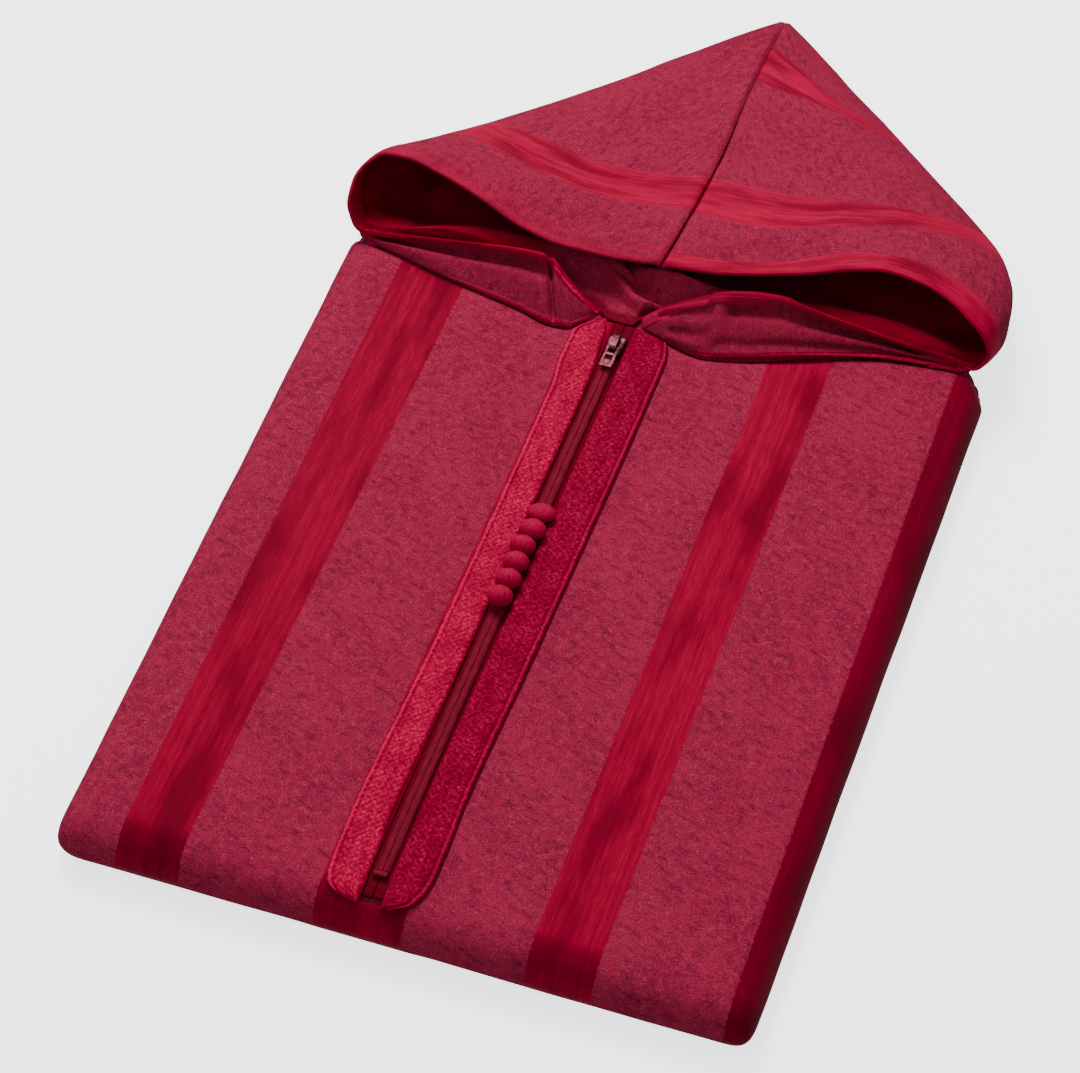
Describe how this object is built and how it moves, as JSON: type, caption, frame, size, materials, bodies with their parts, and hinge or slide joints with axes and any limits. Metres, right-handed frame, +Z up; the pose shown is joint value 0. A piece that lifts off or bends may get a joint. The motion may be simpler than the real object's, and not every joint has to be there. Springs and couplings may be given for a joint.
{
  "type": "folded hooded robe",
  "caption": "Striped robe folded flat on a surface, with a zipped and braid-trimmed front opening, ball buttons and a pointed hood laid back above the shoulders.",
  "frame": {"origin": "middle of the object's box in X and Y, on the surface that it lies on", "axes": "+Z up off the surface, +Y from the bottom fold to the hood's peak, +X to the right of someone who looks down with the hood at the top"},
  "size_m": [0.3308, 0.636, 0.0605],
  "materials": {
    "cloth": "soft brushed wool-like weave",
    "braid": "satin embroidery",
    "zip_tape": "woven tape",
    "zip_coil": "satin",
    "zip_metal": "polished",
    "button": "wound satin thread"
  },
  "bodies": {
    "root": {"front_panel": "cloth", "folded_layers": "cloth", "hood_left_top": "cloth", "hood_left_under": "cloth", "hood_left_front": "cloth", "hood_right_top": "cloth", "hood_right_under": "cloth", "hood_right_front": "cloth", "braid_left": "braid", "braid_right": "braid", "zip_tape_left": "zip_tape", "zip_tape_right": "zip_tape", "zip_coil_left": "zip_coil", "zip_coil_right": "zip_coil", "zip_bottom_stop": "zip_coil", "zip_slider": "zip_metal", "knot_1": "button", "knot_2": "button", "knot_3": "button", "knot_4": "button", "knot_5": "button", "knot_6": "button"},
    "pull_tab": {"pull_tab": "zip_metal"}
  },
  "joints": [
    {"name": "pull_tab_hinge", "type": "hinge", "parent": "root", "child": "pull_tab", "pos_m": [-0.01184, 0.0245, 0.03134], "axis": [-1, 0, 0], "range_deg": [0, 120]}
  ]
}
